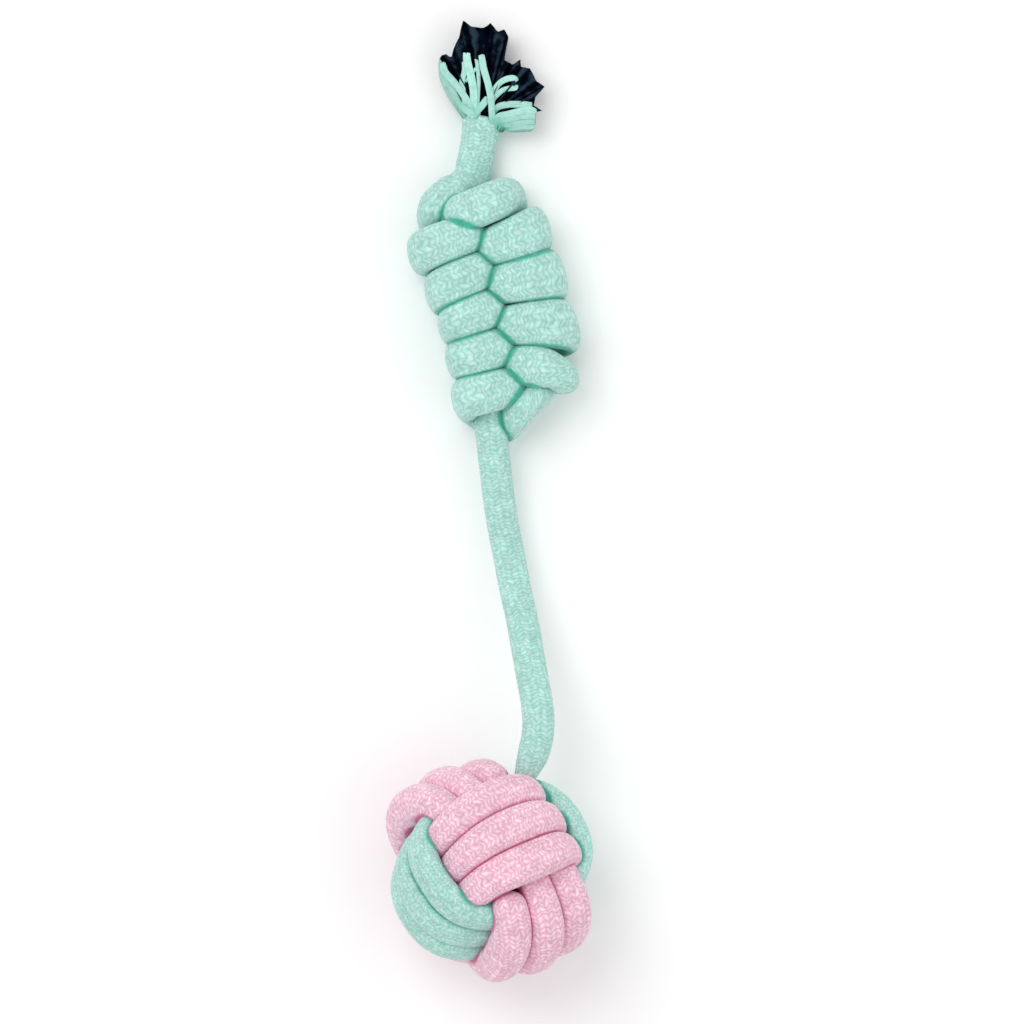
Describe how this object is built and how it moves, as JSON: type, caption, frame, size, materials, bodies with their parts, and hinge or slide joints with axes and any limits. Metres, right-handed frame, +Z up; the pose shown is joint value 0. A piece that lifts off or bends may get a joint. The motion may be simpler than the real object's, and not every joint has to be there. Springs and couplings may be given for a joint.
{
  "type": "rope dog toy",
  "caption": "Braided rope tug toy with a woven ball at one end, a wound handle knot at the other and a frayed tail past it.",
  "frame": {"origin": "middle of the toy's box on the surface it lies on", "axes": "+Y from the ball to the frayed tail, +Z up from the surface the toy lies on, +X to the right seen from above"},
  "size_m": [0.077, 0.3578, 0.0763],
  "materials": {
    "mint_cotton": "mint braided cotton rope sheath, matt, soft",
    "mint_yarn": "flat mint cotton sheath yarns, cut loose from the braid",
    "pink_cotton": "pink braided cotton rope sheath, matt, soft",
    "navy_core_yarn": "navy core fibre, cut and matted into clumps",
    "cotton_wadding": "undyed cotton wadding pressed into a round wad"
  },
  "bodies": {
    "handle": {"handle_winding": "mint_cotton", "handle_core_legs": "mint_cotton", "neck_sheath": "mint_cotton"},
    "shaft": {"shaft_upper": "mint_cotton", "shaft_lower": "mint_cotton"},
    "ball": {"ball_pink_front_turns": "pink_cotton", "ball_mint_turns": "mint_cotton", "ball_pink_end_turns": "pink_cotton", "ball_filler": "cotton_wadding"},
    "tassel": {"neck_core": "navy_core_yarn", "core_clump_front_1": "navy_core_yarn", "core_clump_front_2": "navy_core_yarn", "core_clump_front_3": "navy_core_yarn", "core_clump_front_4": "navy_core_yarn", "core_clump_front_5": "navy_core_yarn", "core_clump_front_6": "navy_core_yarn", "core_clump_front_7": "navy_core_yarn", "core_clump_back_1": "navy_core_yarn", "core_clump_back_2": "navy_core_yarn", "core_clump_back_3": "navy_core_yarn", "core_clump_back_4": "navy_core_yarn", "core_clump_back_5": "navy_core_yarn", "core_clump_back_6": "navy_core_yarn", "core_clump_back_7": "navy_core_yarn", "sheath_yarn_01": "mint_yarn", "sheath_yarn_02": "mint_yarn", "sheath_yarn_03": "mint_yarn", "sheath_yarn_04": "mint_yarn", "sheath_yarn_05": "mint_yarn", "sheath_yarn_06": "mint_yarn", "sheath_yarn_07": "mint_yarn", "sheath_yarn_08": "mint_yarn", "sheath_yarn_09": "mint_yarn", "sheath_yarn_10": "mint_yarn", "sheath_yarn_11": "mint_yarn", "sheath_yarn_12": "mint_yarn", "sheath_yarn_13": "mint_yarn", "sheath_yarn_14": "mint_yarn", "sheath_yarn_15": "mint_yarn", "sheath_yarn_16": "mint_yarn", "sheath_yarn_17": "mint_yarn", "sheath_yarn_18": "mint_yarn"}
  },
  "joints": [
    {"name": "shaft_swing", "type": "hinge", "parent": "handle", "child": "shaft", "pos_m": [0.0035, -0.0057, 0.0126], "axis": [0, 0, 1], "range_deg": [-75, 75], "deforming": ["shaft_upper"]},
    {"name": "ball_lift", "type": "hinge", "parent": "shaft", "child": "ball", "pos_m": [0.0151, -0.0675, 0.031], "axis": [-1, 0, 0], "range_deg": [-45, 75], "deforming": ["shaft_lower"]},
    {"name": "tassel_flop", "type": "hinge", "parent": "handle", "child": "tassel", "pos_m": [-0.0043, 0.1357, 0.0082], "axis": [0, 0, 1], "range_deg": [-25, 25], "deforming": ["neck_sheath"]}
  ]
}
